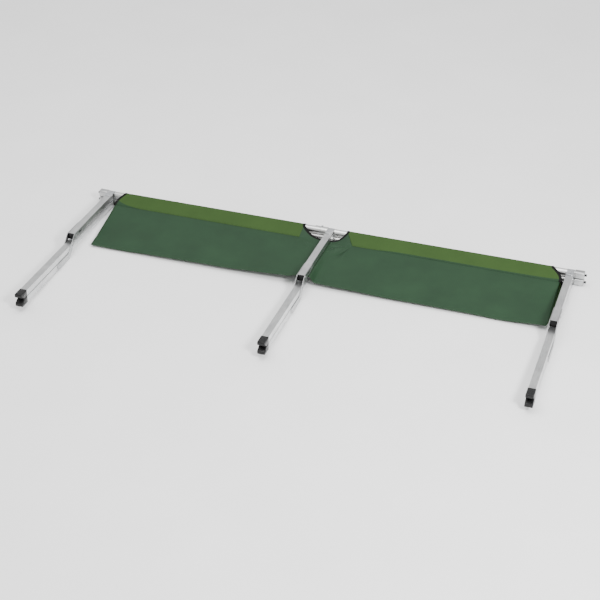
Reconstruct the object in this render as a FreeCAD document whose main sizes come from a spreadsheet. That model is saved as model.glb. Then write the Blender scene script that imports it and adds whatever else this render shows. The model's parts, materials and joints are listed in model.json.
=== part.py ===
import FreeCAD, Part
import math
import os
import re

import Sketcher

# Folding cot: two tubular side rails, three pairs of crossed legs and a doubled cloth bed, lying closed on its side.
# X runs along the rails, the legs point to -Y and Z is up. Each sub-part is drawn in a level frame whose origin is
# on the lower rail's axis at the middle leg; one common placement then tips the cot until it lies on the floor.
doc = FreeCAD.newDocument("folding_cot")

# ---------------------------------------------------------------- driving dimensions, in millimetres and degrees
SIZES = {
    "leg_spacing": 895.0,
    "rail_radius": 12.5,
    "rail_wall": 1.5,
    "rail_pitch": 28.0,
    "rail_end": 40.0,
    "fold_x": -40.0,
    "fold_gap": 0.6,
    "fold_pin_y": 17.0,
    "fold_pin_radius": 2.0,
    "knuckle_radius": 4.0,
    "knuckle_half": 3.0,
    "knuckle_gap": 0.3,
    "leaf_half": 9.0,
    "leaf_length": 20.0,
    "leaf_clear": 5.0,
    "leaf_back": 2.0,
    "running_gap": 0.05,
    "block_start": 15.0,
    "block_end": 49.0,
    "block_side": 26.8,
    "block_corner": 8.0,
    "knob_radius": 4.5,
    "knob_length": 8.0,
    "strap_radius": 13.75,
    "strap_thick": 1.2,
    "strap_width": 26.0,
    "strap_reach": 41.0,
    "pin_offset": 30.0,
    "pin_radius": 3.0,
    "pin_head_radius": 5.5,
    "pin_head": 1.2,
    "arm_top": 21.0,
    "arm_end": 730.0,
    "tube_width": 25.0,
    "wide_tube_width": 25.7,
    "tube_height": 24.0,
    "tube_wall": 1.5,
    "tube_corner": 2.5,
    "lower_pitch": 25.0,
    "cross_y": 382.0,
    "upper_tube_gap": 26.0,
    "lower_tube_gap": 24.2,
    "plug_head": 1.2,
    "plug_depth": 8.0,
    "plate_thick": 2.0,
    "plate_overlap": 94.0,
    "plate_half": 11.3,
    "crank_long": 32.0,
    "crank_short": 26.0,
    "rivet_inset": 13.0,
    "slot_length": 26.0,
    "slot_height": 7.0,
    "cross_rivet_radius": 4.0,
    "cross_head_radius": 7.0,
    "rivet_radius": 2.4,
    "rivet_head_radius": 4.0,
    "rivet_head": 1.3,
    "foot_tip": 771.0,
    "foot_width": 27.4,
    "foot_height": 24.6,
    "foot_nose": 3.0,
    "foot_front": 9.0,
    "foot_plug": 24.0,
    "open_angle": 53.1,
    "cloth_left": 842.0,
    "cloth_right": 876.5,
    "cloth_middle": 18.0,
    "sleeve_left_end": 835.0,
    "sleeve_left_start": 105.0,
    "sleeve_right_start": 67.0,
    "sleeve_right_end": 829.0,
    "sleeve_radius": 13.6,
    "sleeve_gap": 0.3,
    "sleeve_front": 60.0,
    "cloth_thick": 0.8,
    "cloth_fold_y": 311.5,
    "cloth_fold_z": 24.0,
}

sheet = doc.addObject("Spreadsheet::Sheet", "sizes")
for row, (alias, number) in enumerate(SIZES.items(), start=1):
    sheet.set(f"A{row}", alias)
    sheet.set(f"B{row}", str(number))
    sheet.setAlias(f"B{row}", alias)
doc.recompute()


def size(expression):
    """The number that an expression of the sheet's aliases comes to."""
    found = sheet.evalExpression(expression)
    return float(getattr(found, "Value", found))


def linked(expression):
    """The same expression, as an object outside the sheet writes it."""
    return re.sub(r"[a-z_]+", lambda word: f"sizes.{word[0]}" if word[0] in SIZES else word[0], expression)


class Piece:
    """One sub-part: a body whose sketches and features are bound to the sheet."""

    def __init__(self, label):
        self.body = doc.addObject("PartDesign::Body", label)
        self.body.Label = label
        self.body.AllowCompound = True
        self.steps = 0

    def sketch(self, plane, start="0"):
        """An empty sketch on one of the body's own planes, start along the plane's normal."""
        self.steps += 1
        made = self.body.newObject("Sketcher::SketchObject", f"{self.body.Name}_outline_{self.steps}")
        origin = [f for f in self.body.Origin.OriginFeatures if f.Role == plane]
        made.AttachmentSupport = (origin[0], [""])
        made.MapMode = "FlatFace"
        made.AttachmentOffset = FreeCAD.Placement(FreeCAD.Vector(0, 0, size(start)), FreeCAD.Rotation())
        made.setExpression(".AttachmentOffset.Base.z", linked(start))
        return made

    def fix(self, sketch, geometry, position, across, along):
        """Hold one point of a sketch at two bound coordinates."""
        for kind, expression in (("DistanceX", across), ("DistanceY", along)):
            value = size(expression)
            if abs(value) < 1e-9:
                axis = -2 if kind == "DistanceX" else -1
                sketch.addConstraint(Sketcher.Constraint("PointOnObject", geometry, position, axis))
                continue
            number = sketch.addConstraint(Sketcher.Constraint(kind, geometry, position, value))
            sketch.setExpression(f"Constraints[{number}]", linked(expression))

    def outline(self, sketch, corners):
        """A closed outline of straight lines through bound corners."""
        points = [FreeCAD.Vector(size(across), size(along), 0) for across, along in corners]
        first = sketch.GeometryCount
        count = len(points)
        for number in range(count):
            sketch.addGeometry(Part.LineSegment(points[number], points[(number + 1) % count]), False)
        for number in range(count):
            after = first + (number + 1) % count
            sketch.addConstraint(Sketcher.Constraint("Coincident", first + number, 2, after, 1))
        for number, (across, along) in enumerate(corners):
            self.fix(sketch, first + number, 1, across, along)

    def rectangle(self, sketch, left, right, low, high):
        """A bound rectangle."""
        self.outline(sketch, [(left, low), (right, low), (right, high), (left, high)])

    def circle(self, sketch, across, along, radius):
        """A bound circle."""
        centre = FreeCAD.Vector(size(across), size(along), 0)
        number = sketch.addGeometry(Part.Circle(centre, FreeCAD.Vector(0, 0, 1), size(radius)), False)
        self.fix(sketch, number, 3, across, along)
        rule = sketch.addConstraint(Sketcher.Constraint("Radius", number, size(radius)))
        sketch.setExpression(f"Constraints[{rule}]", linked(radius))

    def pad(self, sketch, length, centred=False):
        """Extrude a sketch along its normal, or half to each side of it."""
        made = self.body.newObject("PartDesign::Pad", f"{self.body.Name}_pad_{self.steps}")
        made.Profile = sketch
        made.Length = size(length)
        made.setExpression("Length", linked(length))
        if centred:
            made.SideType = "Symmetric"
        return made

    def cut(self, sketch, length, centred=True):
        """Cut a sketch out of the body, to both sides of it or along its normal, and make sure that something went."""
        doc.recompute()
        before = self.body.Shape.Volume
        made = self.body.newObject("PartDesign::Pocket", f"{self.body.Name}_pocket_{self.steps}")
        made.Profile = sketch
        made.Length = size(length)
        made.setExpression("Length", linked(length))
        if centred:
            made.SideType = "Symmetric"
        else:
            made.Reversed = True
        doc.recompute()
        if not self.body.Shape.Volume < before - 0.01:
            raise RuntimeError(f"{made.Name} cut nothing")
        return made

    def round_edges(self, chosen, radius):
        """Round the edges of the shape so far that the test picks."""
        doc.recompute()
        base = self.body.Tip
        names = [f"Edge{n}" for n, edge in enumerate(base.Shape.Edges, start=1) if chosen(edge)]
        made = self.body.newObject("PartDesign::Fillet", f"{self.body.Name}_round")
        made.Base = (base, names)
        made.Radius = size(radius)
        made.setExpression("Radius", linked(radius))
        return made


def runs_along(edge, axis):
    """Whether an edge is a straight one along an axis."""
    if edge.Curve.TypeId != "Part::GeomLine":
        return False
    return edge.Curve.Direction.cross(axis).Length < 1e-6


ALONG_X = FreeCAD.Vector(1, 0, 0)
ALONG_Y = FreeCAD.Vector(0, 1, 0)
THROUGH = "2*leg_spacing"
made_pieces = {}


def place(piece, along_rail=0.0, height=0.0):
    """Give a piece its place in the level frame; the tip onto the floor follows when all are made."""
    piece.body.Placement = FreeCAD.Placement(FreeCAD.Vector(along_rail, 0, height), FreeCAD.Rotation())
    made_pieces[piece.body.Label] = piece.body


# ---------------------------------------------------------------- side rails, each in two halves
def rail_tube(label, start, length, height):
    """A plain round tube along X."""
    tube = Piece(label)
    ring = tube.sketch("YZ_Plane", start)
    tube.circle(ring, "0", "0", "rail_radius")
    tube.circle(ring, "0", "0", "rail_radius-rail_wall")
    tube.pad(ring, length)
    place(tube, height=height)


def end_block(label, side, height):
    """A square block with rounded corners that closes a rail's end, bored for the tube."""
    block = Piece(label)
    start = "leg_spacing+block_start" if side > 0 else "-leg_spacing-block_end"
    face = block.sketch("YZ_Plane", start)
    half = "block_side/2"
    block.rectangle(face, f"-{half}", half, f"-{half}", half)
    block.pad(face, "block_end-block_start")
    block.round_edges(lambda edge: runs_along(edge, ALONG_X), "block_corner")
    bore_start = "leg_spacing+block_start" if side > 0 else "-leg_spacing-rail_end"
    bore = block.sketch("YZ_Plane", bore_start)
    block.circle(bore, "0", "0", "rail_radius")
    block.cut(bore, "rail_end-block_start", centred=False)
    place(block, height=height)


def end_pin(label, side, height):
    """The short round peg on the end of a rail, on which an end bar hooks."""
    peg = Piece(label)
    start = "leg_spacing+block_end" if side > 0 else "-leg_spacing-block_end-knob_length"
    face = peg.sketch("YZ_Plane", start)
    peg.circle(face, "0", "0", "knob_radius")
    peg.pad(face, "knob_length")
    place(peg, height=height)


def hinge_leaf(label, side, height):
    """A saddle on the back of one half rail with its own part of the knuckle."""
    leaf = Piece(label)
    pin_x = "(fold_x-fold_gap/2)"
    near = f"{pin_x}+leaf_clear" if side > 0 else f"{pin_x}-leaf_clear-leaf_length"
    back = "rail_radius+leaf_back"
    saddle = leaf.sketch("YZ_Plane", near)
    leaf.rectangle(saddle, "rail_radius/2", back, "-leaf_half", "leaf_half")
    leaf.pad(saddle, "leaf_length")
    outer_band = "leaf_half-knuckle_half-knuckle_gap"
    bands = [("knuckle_half+knuckle_gap", outer_band), ("-leaf_half", outer_band)]
    if side < 0:
        bands = [("-knuckle_half", "2*knuckle_half")]
    for low, tall in bands:
        barrel = leaf.sketch("XY_Plane", low)
        leaf.circle(barrel, pin_x, "fold_pin_y", "knuckle_radius")
        leaf.pad(barrel, tall)
        link = leaf.sketch("XY_Plane", low)
        far = f"{pin_x}+leaf_clear+1" if side > 0 else f"{pin_x}-leaf_clear-1"
        edges = (f"{pin_x}", far) if side > 0 else (far, f"{pin_x}")
        leaf.rectangle(link, edges[0], edges[1], "fold_pin_y-knuckle_radius", back)
        leaf.pad(link, tall)
    hole = leaf.sketch("XY_Plane")
    bore = "fold_pin_radius" if side > 0 else "fold_pin_radius+running_gap"
    leaf.circle(hole, pin_x, "fold_pin_y", bore)
    leaf.cut(hole, THROUGH)
    seat = leaf.sketch("YZ_Plane", near)
    leaf.circle(seat, "0", "0", "rail_radius")
    leaf.cut(seat, THROUGH)
    place(leaf, height=height)


def hinge_pin(label, height):
    """The upright pin of a rail's fold."""
    pin = Piece(label)
    face = pin.sketch("XY_Plane", "-leaf_half-1")
    pin.circle(face, "fold_x-fold_gap/2", "fold_pin_y", "fold_pin_radius")
    pin.pad(face, "2*leaf_half+2")
    place(pin, height=height)


for level, height in (("lower", 0.0), ("upper", size("rail_pitch"))):
    rail_tube(f"{level}_rail_right_tube", "fold_x", "leg_spacing+rail_end-fold_x", height)
    rail_tube(f"{level}_rail_left_tube", "-leg_spacing-rail_end", "leg_spacing+rail_end+fold_x-fold_gap", height)
    for side, word in ((1, "right"), (-1, "left")):
        end_block(f"{level}_end_block_{word}", side, height)
        end_pin(f"{level}_end_pin_{word}", side, height)
        hinge_leaf(f"{level}_hinge_leaf_{word}", side, height)
    hinge_pin(f"{level}_hinge_pin", height)


# ---------------------------------------------------------------- one pair of crossed legs
def leg_bracket(label, x, height):
    """A bent strap round the rail with two ears for the arm's upright pin."""
    strap = Piece(label)
    wrap = strap.sketch("YZ_Plane")
    strap.circle(wrap, "0", "0", "strap_radius")
    strap.pad(wrap, "strap_width", centred=True)
    ears = strap.sketch("YZ_Plane")
    strap.rectangle(ears, "-strap_reach", "0", "-strap_radius", "strap_radius")
    strap.pad(ears, "strap_width", centred=True)
    rail = strap.sketch("YZ_Plane")
    strap.circle(rail, "0", "0", "rail_radius+running_gap")
    strap.cut(rail, THROUGH)
    gap = strap.sketch("YZ_Plane")
    inner = "strap_radius-strap_thick"
    strap.rectangle(gap, "-strap_reach-1", "0", f"-({inner})", inner)
    strap.cut(gap, THROUGH)
    hole = strap.sketch("XY_Plane")
    strap.circle(hole, "0", "-pin_offset", "pin_radius")
    strap.cut(hole, THROUGH)
    place(strap, x, height)


def leg_pin(label, x, height, side):
    """The pin on which an arm swings; its head lies on the outer ear, side +1 above and -1 below."""
    pin = Piece(label)
    shank = pin.sketch("XY_Plane", "-strap_radius")
    pin.circle(shank, "0", "-pin_offset", "pin_radius")
    pin.pad(shank, "2*strap_radius")
    head = pin.sketch("XY_Plane", "strap_radius" if side > 0 else "-strap_radius-pin_head")
    pin.circle(head, "0", "-pin_offset", "pin_head_radius")
    pin.pad(head, "pin_head")
    place(pin, x, height)


def leg_tube(label, x, height, width, start, length, upright_hole, cross_holes):
    """A rectangular tube along -Y, drilled where pins and rivets pass."""
    tube = Piece(label)
    ring = tube.sketch("XZ_Plane", start)
    outer = f"{width}/2"
    tube.rectangle(ring, f"-{outer}", outer, "-tube_height/2", "tube_height/2")
    tube.pad(ring, length)
    tube.round_edges(lambda edge: runs_along(edge, ALONG_Y), "tube_corner")
    hollow = tube.sketch("XZ_Plane", start)
    inner = f"({outer}-tube_wall)"
    tube.rectangle(hollow, f"-{inner}", inner, "-(tube_height/2-tube_wall)", "tube_height/2-tube_wall")
    tube.cut(hollow, THROUGH)
    if upright_hole:
        hole = tube.sketch("XY_Plane")
        tube.circle(hole, "0", "-pin_offset", "pin_radius+running_gap")
        tube.cut(hole, THROUGH)
    for across, radius in cross_holes:
        hole = tube.sketch("YZ_Plane")
        tube.circle(hole, across, "0", radius)
        tube.cut(hole, THROUGH)
    place(tube, x, height)


def foot(label, x, height, side, width):
    """A plastic end piece whose slanted sole stands level once the legs are open."""
    shoe = Piece(label)
    half = "foot_height/2"
    sign = "" if side > 0 else "-"
    other = "-" if side > 0 else ""
    slope = "(foot_height-foot_nose-foot_front)*tan(open_angle * 1 deg)"
    profile = shoe.sketch("YZ_Plane")
    corners = [
        ("-arm_end", f"{sign}{half}"),
        ("-foot_tip+foot_nose", f"{sign}{half}"),
        ("-foot_tip", f"{sign}({half}-foot_nose)"),
        ("-foot_tip", f"{sign}({half}-foot_nose-foot_front)"),
        (f"-foot_tip+{slope}", f"{other}{half}"),
        ("-arm_end", f"{other}{half}"),
    ]
    shoe.outline(profile, corners)
    shoe.pad(profile, "foot_width", centred=True)
    plug = shoe.sketch("XZ_Plane", "arm_end-foot_plug")
    across = f"({width}/2-tube_wall-running_gap)"
    tall = "(tube_height/2-tube_wall-running_gap)"
    shoe.rectangle(plug, f"-{across}", across, f"-{tall}", tall)
    shoe.pad(plug, "foot_plug+1")
    place(shoe, x, height)


def side_plates(label, x):
    """The two cranked plates that join the upper and lower tubes and straddle the straight tube."""
    plates = Piece(label)
    inner = "wide_tube_width/2"
    upper_end = "cross_y-upper_tube_gap"
    lower_start = "cross_y+lower_tube_gap"
    top, under = "rail_pitch+plate_half", "rail_pitch-plate_half"
    crown, base = "-lower_pitch+plate_half", "-lower_pitch-plate_half"
    corners = [
        (f"-({upper_end}-plate_overlap)", top),
        ("-(cross_y-crank_short)", top),
        ("-(cross_y+crank_long)", crown),
        (f"-({lower_start}+plate_overlap)", crown),
        (f"-({lower_start}+plate_overlap)", base),
        ("-(cross_y+crank_short)", base),
        ("-(cross_y-crank_long)", under),
        (f"-({upper_end}-plate_overlap)", under),
    ]
    profile = plates.sketch("YZ_Plane")
    plates.outline(profile, corners)
    plates.pad(profile, f"2*({inner}+plate_thick)", centred=True)
    between = plates.sketch("XY_Plane")
    plates.rectangle(between, f"-{inner}", inner, "-foot_tip", "-arm_top")
    plates.cut(between, THROUGH)
    slot = plates.sketch("YZ_Plane")
    middle = f"({upper_end}-plate_overlap/2)"
    low, high = "rail_pitch-slot_height/2", "rail_pitch+slot_height/2"
    plates.rectangle(slot, f"-{middle}-slot_length/2", f"-{middle}+slot_length/2", low, high)
    plates.cut(slot, THROUGH)
    for across, along, radius in rivet_places():
        hole = plates.sketch("YZ_Plane")
        plates.circle(hole, across, along, radius)
        plates.cut(hole, THROUGH)
    place(plates, x)


def rivet_places():
    """Where the rivets cross the arm: four that hold the plates and the one that the arms turn on."""
    upper_end = "cross_y-upper_tube_gap"
    lower_start = "cross_y+lower_tube_gap"
    return [
        (f"-({upper_end}-rivet_inset)", "rail_pitch", "rivet_radius"),
        (f"-({upper_end}-plate_overlap+rivet_inset)", "rail_pitch", "rivet_radius"),
        (f"-({lower_start}+rivet_inset)", "-lower_pitch", "rivet_radius"),
        (f"-({lower_start}+plate_overlap-rivet_inset)", "-lower_pitch", "rivet_radius"),
        ("-cross_y", "0", "cross_rivet_radius"),
    ]


def rivets(label, x):
    """The five rivets of one cranked arm, each with two heads on the plates."""
    group = Piece(label)
    face = "(wide_tube_width/2+plate_thick)"
    for across, along, radius in rivet_places():
        shank = group.sketch("YZ_Plane")
        group.circle(shank, across, along, radius)
        group.pad(shank, f"2*{face}", centred=True)
        wide = "cross_head_radius" if radius == "cross_rivet_radius" else "rivet_head_radius"
        for start in (face, f"-{face}-rivet_head"):
            head = group.sketch("YZ_Plane", start)
            group.circle(head, across, along, wide)
            group.pad(head, "rivet_head")
    place(group, x)


def tube_plug(label, x):
    """The plastic plug in the lower end of the upper tube."""
    plug = Piece(label)
    end = "cross_y-upper_tube_gap"
    cap = plug.sketch("XZ_Plane", end)
    plug.rectangle(cap, "-wide_tube_width/2", "wide_tube_width/2", "-tube_height/2", "tube_height/2")
    plug.pad(cap, "plug_head")
    plug.round_edges(lambda edge: runs_along(edge, ALONG_Y), "tube_corner")
    body = plug.sketch("XZ_Plane", f"{end}-plug_depth")
    across = "(wide_tube_width/2-tube_wall-running_gap)"
    tall = "(tube_height/2-tube_wall-running_gap)"
    plug.rectangle(body, f"-{across}", across, f"-{tall}", tall)
    plug.pad(body, "plug_depth+plug_head/2")
    place(plug, x, size("rail_pitch"))


def leg_pair(name, x):
    """All pieces of one pair of crossed legs at x along the rails."""
    upper, lower = size("rail_pitch"), -size("lower_pitch")
    leg_bracket(f"{name}_lower_bracket_strap", x, 0.0)
    leg_pin(f"{name}_lower_bracket_pin", x, 0.0, -1)
    leg_bracket(f"{name}_upper_bracket_strap", x, upper)
    leg_pin(f"{name}_upper_bracket_pin", x, upper, 1)
    holes = rivet_places()
    cross = [("-cross_y", "cross_rivet_radius+running_gap")]
    leg_tube(f"{name}_straight_tube", x, 0.0, "tube_width", "arm_top", "arm_end-arm_top", True, cross)
    foot(f"{name}_straight_foot", x, 0.0, 1, "tube_width")
    wide = "wide_tube_width"
    drilled = [(across, radius) for across, along, radius in holes[:2]]
    run = "cross_y-upper_tube_gap-arm_top"
    leg_tube(f"{name}_upper_tube", x, upper, wide, "arm_top", run, True, drilled)
    drilled = [(across, radius) for across, along, radius in holes[2:4]]
    start = "cross_y+lower_tube_gap"
    leg_tube(f"{name}_lower_tube", x, lower, wide, start, f"arm_end-({start})", False, drilled)
    foot(f"{name}_lower_foot", x, lower, -1, wide)
    tube_plug(f"{name}_tube_plug", x)
    side_plates(f"{name}_side_plates", x)
    rivets(f"{name}_rivets", x)


LEGS = {"left": -size("leg_spacing"), "middle": 0.0, "right": size("leg_spacing")}
for name, x in LEGS.items():
    leg_pair(name, x)


# ---------------------------------------------------------------- the cloth bed, doubled while the cot is closed
def cloth(label, side, level):
    """One quarter of the bed cloth: a sewn sleeve round its rail and a flat layer out to the fold."""
    layer = Piece(label)
    low = level == "lower"
    centre = "0" if low else "rail_pitch"
    sleeve_from, sleeve_length = "sleeve_right_start", "sleeve_right_end-sleeve_right_start"
    panel_from, panel_length = "cloth_middle", "cloth_right-cloth_middle"
    if side < 0:
        sleeve_from, sleeve_length = "-sleeve_left_end", "sleeve_left_end-sleeve_left_start"
        panel_from, panel_length = "-cloth_left", "cloth_left-cloth_middle"
    ring = layer.sketch("YZ_Plane", sleeve_from)
    layer.circle(ring, "0", centre, "sleeve_radius")
    layer.pad(ring, sleeve_length)
    fold = "-cloth_fold_z-cloth_thick" if low else "-cloth_fold_z+cloth_thick"
    half = "cloth_thick/2"
    root = "(sleeve_radius-cloth_thick)"
    share = f"(sleeve_front-{root})/(cloth_fold_y-{root})"
    bend = f"{centre}+({fold}-({centre}))*{share}"
    strip = layer.sketch("YZ_Plane", sleeve_from)
    layer.outline(
        strip,
        [
            (f"-{root}", f"{centre}-{half}"),
            (f"-{root}", f"{centre}+{half}"),
            ("-sleeve_front", f"{bend}+{half}"),
            ("-sleeve_front", f"{bend}-{half}"),
        ],
    )
    layer.pad(strip, sleeve_length)
    panel = layer.sketch("YZ_Plane", panel_from)
    layer.outline(
        panel,
        [
            ("-sleeve_front", f"{bend}-{half}"),
            ("-sleeve_front", f"{bend}+{half}"),
            ("-cloth_fold_y", f"{fold}+{half}"),
            ("-cloth_fold_y", f"{fold}-{half}"),
        ],
    )
    layer.pad(panel, panel_length)
    hollow = layer.sketch("YZ_Plane")
    layer.circle(hollow, "0", centre, "rail_radius+sleeve_gap")
    layer.cut(hollow, f"{THROUGH}+rail_end")
    place(layer)


for level in ("lower", "upper"):
    for side, word in ((1, "right"), (-1, "left")):
        cloth(f"{level}_cloth_{word}", side, level)

# ---------------------------------------------------------------- tip the closed cot onto the floor and check it
doc.recompute()


def floor_tilt():
    """The angle at which the straps and the lower tubes' upper ends stand on one plane, found by stepping."""
    radius = size("strap_radius")
    reach, drop = size("cross_y+lower_tube_gap"), size("lower_pitch+tube_height/2")
    angle = 0.0
    for _ in range(20):
        angle = math.asin((drop * math.cos(angle) - radius) / reach)
    return math.degrees(angle)


TIP = FreeCAD.Rotation(FreeCAD.Vector(1, 0, 0), -floor_tilt())
for body in made_pieces.values():
    body.Placement = FreeCAD.Placement(TIP.multVec(body.Placement.Base), TIP)
doc.recompute()
whole = FreeCAD.BoundBox()
for body in made_pieces.values():
    whole.add(body.Shape.optimalBoundingBox(False, False))
rest = FreeCAD.Vector(-whole.Center.x, -whole.Center.y, -whole.ZMin)
for body in made_pieces.values():
    body.Placement.Base = body.Placement.Base.add(rest)
doc.recompute()

for item in doc.Objects:
    if {"Invalid", "Error"} & set(item.State):
        raise RuntimeError(f"{item.Name} failed: {item.State}")
for label, body in made_pieces.items():
    shape = body.Shape
    if shape.isNull() or not shape.isValid() or not shape.Solids:
        raise RuntimeError(f"{label} has no valid solid")

os.makedirs("parts", exist_ok=True)
for label, body in made_pieces.items():
    body.Shape.exportStep(f"parts/{label}.step")
print(f"{len(made_pieces)} pieces, tilt {floor_tilt():.3f} degrees, shift {tuple(round(v, 3) for v in rest)}")
print(f"box {whole.XLength:.1f} x {whole.YLength:.1f} x {whole.ZLength:.1f}")
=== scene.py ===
"""Finished surfaces of a folding camp cot, closed and lying on its side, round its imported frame.

All shapes are worked out in millimetres in a level frame (X along the side rails, -Y towards the feet, Z up,
origin on the lower rail's axis at the middle leg) and placed in the frame's metres by the Bench.
"""

import json
import logging
import math
from dataclasses import dataclass, replace
from enum import Enum
from typing import Any, Sequence

import bpy
import numpy as np
from mathutils import Matrix, Vector
from mathutils.geometry import delaunay_2d_cdt

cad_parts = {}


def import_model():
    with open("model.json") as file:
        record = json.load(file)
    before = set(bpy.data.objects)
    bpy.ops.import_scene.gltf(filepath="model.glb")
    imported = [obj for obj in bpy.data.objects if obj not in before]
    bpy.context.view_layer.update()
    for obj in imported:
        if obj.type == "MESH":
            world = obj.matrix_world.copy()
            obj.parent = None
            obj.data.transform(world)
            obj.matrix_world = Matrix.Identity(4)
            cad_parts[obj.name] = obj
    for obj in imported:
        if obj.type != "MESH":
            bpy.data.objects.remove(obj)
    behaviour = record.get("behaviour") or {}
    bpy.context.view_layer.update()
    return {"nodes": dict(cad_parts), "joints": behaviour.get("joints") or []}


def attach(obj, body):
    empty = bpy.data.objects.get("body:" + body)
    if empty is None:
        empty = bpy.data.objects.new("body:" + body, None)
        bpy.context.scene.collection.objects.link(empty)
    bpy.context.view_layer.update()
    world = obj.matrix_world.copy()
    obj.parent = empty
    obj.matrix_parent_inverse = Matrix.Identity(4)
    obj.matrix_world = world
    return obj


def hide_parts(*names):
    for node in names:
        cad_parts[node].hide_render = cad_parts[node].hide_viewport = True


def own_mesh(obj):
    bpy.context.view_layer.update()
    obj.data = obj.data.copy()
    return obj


LOG = logging.getLogger("folding_cot")
Array = np.ndarray
Stops = Sequence[tuple[float, str]]
MM = 0.001
TAPE_SIDES = 10


class Level(Enum):
    """Which rail a piece belongs to while the cot is closed."""

    LOWER = "lower"
    UPPER = "upper"

    @property
    def outward(self) -> float:
        """+1 where the layer's outer face looks up, -1 where it looks down."""
        return 1.0 if self is Level.UPPER else -1.0


class Half(Enum):
    """Which half of the cot a piece belongs to."""

    LEFT = "left"
    RIGHT = "right"

    @property
    def sign(self) -> float:
        """The half's direction along the rails."""
        return 1.0 if self is Half.RIGHT else -1.0


class Axis(Enum):
    """The level frame's axes, and the order that carries an outline's two numbers across each."""

    X = (2, 0, 1)
    Y = (0, 2, 1)
    Z = (0, 1, 2)


# ---------------------------------------------------------------- numbers and meshes
def smooth(share: Array) -> Array:
    """The S-curve 3s^2 - 2s^3 of a share held between 0 and 1."""
    held = np.clip(share, 0.0, 1.0)
    return held * held * (3.0 - 2.0 * held)


@dataclass(frozen=True)
class Bench:
    """The level frame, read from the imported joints.

    Attributes:
        origin: the lower rail's axis at the middle leg, in metres.
        axes: the level frame's X, Y and Z as rows.
    """

    origin: Array
    axes: Array

    @classmethod
    def from_joints(cls, joints: dict[str, dict]) -> "Bench":
        """Find the frame: the scissor turns on the lower rail, and the rail fold's pin stands upright.

        Args:
            joints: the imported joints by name.

        Returns:
            The bench.
        """
        up = -np.array(joints["rail_fold"]["axis"], float)
        along = np.array([1.0, 0.0, 0.0])
        return cls(np.array(joints["scissor"]["pos_m"], float), np.array([along, np.cross(up, along), up]))

    def place(self, points: Array) -> Array:
        """Level millimetres to the frame's metres."""
        return self.origin + (np.asarray(points, float) * MM) @ self.axes

    def direction(self, vector: Sequence[float]) -> Array:
        """A level direction in the frame."""
        return np.asarray(vector, float) @ self.axes

    def level(self, points: Array) -> Array:
        """The frame's metres to level millimetres."""
        return (np.asarray(points, float) - self.origin) @ self.axes.T / MM

    def cloud(self, node: bpy.types.Object) -> Array:
        """Every corner point of a CAD node, in level millimetres."""
        found = np.zeros(len(node.data.vertices) * 3)
        node.data.vertices.foreach_get("co", found)
        return self.level(found.reshape(-1, 3))

    def span(self, node: bpy.types.Object) -> tuple[Array, Array]:
        """Lowest and highest level corner of a CAD node."""
        points = self.cloud(node)
        return points.min(0), points.max(0)


@dataclass
class Shell:
    """A closed or open skin: points (n, 3) in level millimetres and faces as lists of point numbers."""

    points: Array
    faces: list[list[int]]

    def outward(self) -> "Shell":
        """The same closed skin with its faces turned so that its volume comes out positive."""
        corners = np.array([[f[0], f[i], f[i + 1]] for f in self.faces for i in range(1, len(f) - 1)])
        a, b, c = (self.points[corners[:, k]] for k in range(3))
        if float((a * np.cross(b, c)).sum()) < 0:
            self.faces = [face[::-1] for face in self.faces]
        return self


def grid_faces(rows: int, columns: int, wrap: bool = False) -> list[list[int]]:
    """Quads between neighbouring rows and columns of a grid of points.

    Args:
        rows: how many rows of points.
        columns: how many points in a row.
        wrap: whether each row closes on itself.

    Returns:
        The faces, all wound the same way.
    """
    across = np.arange(columns if wrap else columns - 1)
    row = np.arange(rows - 1)[:, None] * columns
    first, second = row + across, row + (across + 1) % columns
    return np.stack([first, second, second + columns, first + columns], -1).reshape(-1, 4).tolist()


def capped(rings: Array) -> Shell:
    """A closed skin through (rows, count, 3) rings of points, with a flat face at each end."""
    rows, count = rings.shape[:2]
    faces = grid_faces(rows, count, wrap=True)
    faces += [list(range(count))[::-1], list(range((rows - 1) * count, rows * count))]
    return Shell(rings.reshape(-1, 3), faces).outward()


def lofted(outline: Array, normals: Array, stations: Array, axis: Axis, place: Sequence[float]) -> Shell:
    """A closed outline carried along an axis: ring k is outline - inset_k * normals, at stop_k along the axis.

    Args:
        outline: (n, 2) points of the outline.
        normals: (n, 2) outward directions at those points.
        stations: (k, 2) rows of stop along the axis and inset of the outline.
        axis: the axis that the outline is carried along.
        place: what is added to every point.

    Returns:
        The closed shell, with a flat face at each end.
    """
    stations = np.asarray(stations, float)
    rings = outline[None] - stations[:, 1, None, None] * normals[None]
    stops = np.broadcast_to(stations[:, 0, None, None], rings.shape[:2] + (1,))
    return capped(np.concatenate([rings, stops], -1)[..., list(axis.value)] + np.asarray(place, float))


def circle(radius: float, steps: int = 32) -> tuple[Array, Array]:
    """A circle's points and outward directions."""
    turn = np.linspace(0, 2 * math.pi, steps, endpoint=False)
    way = np.stack([np.cos(turn), np.sin(turn)], -1)
    return radius * way, way


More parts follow.
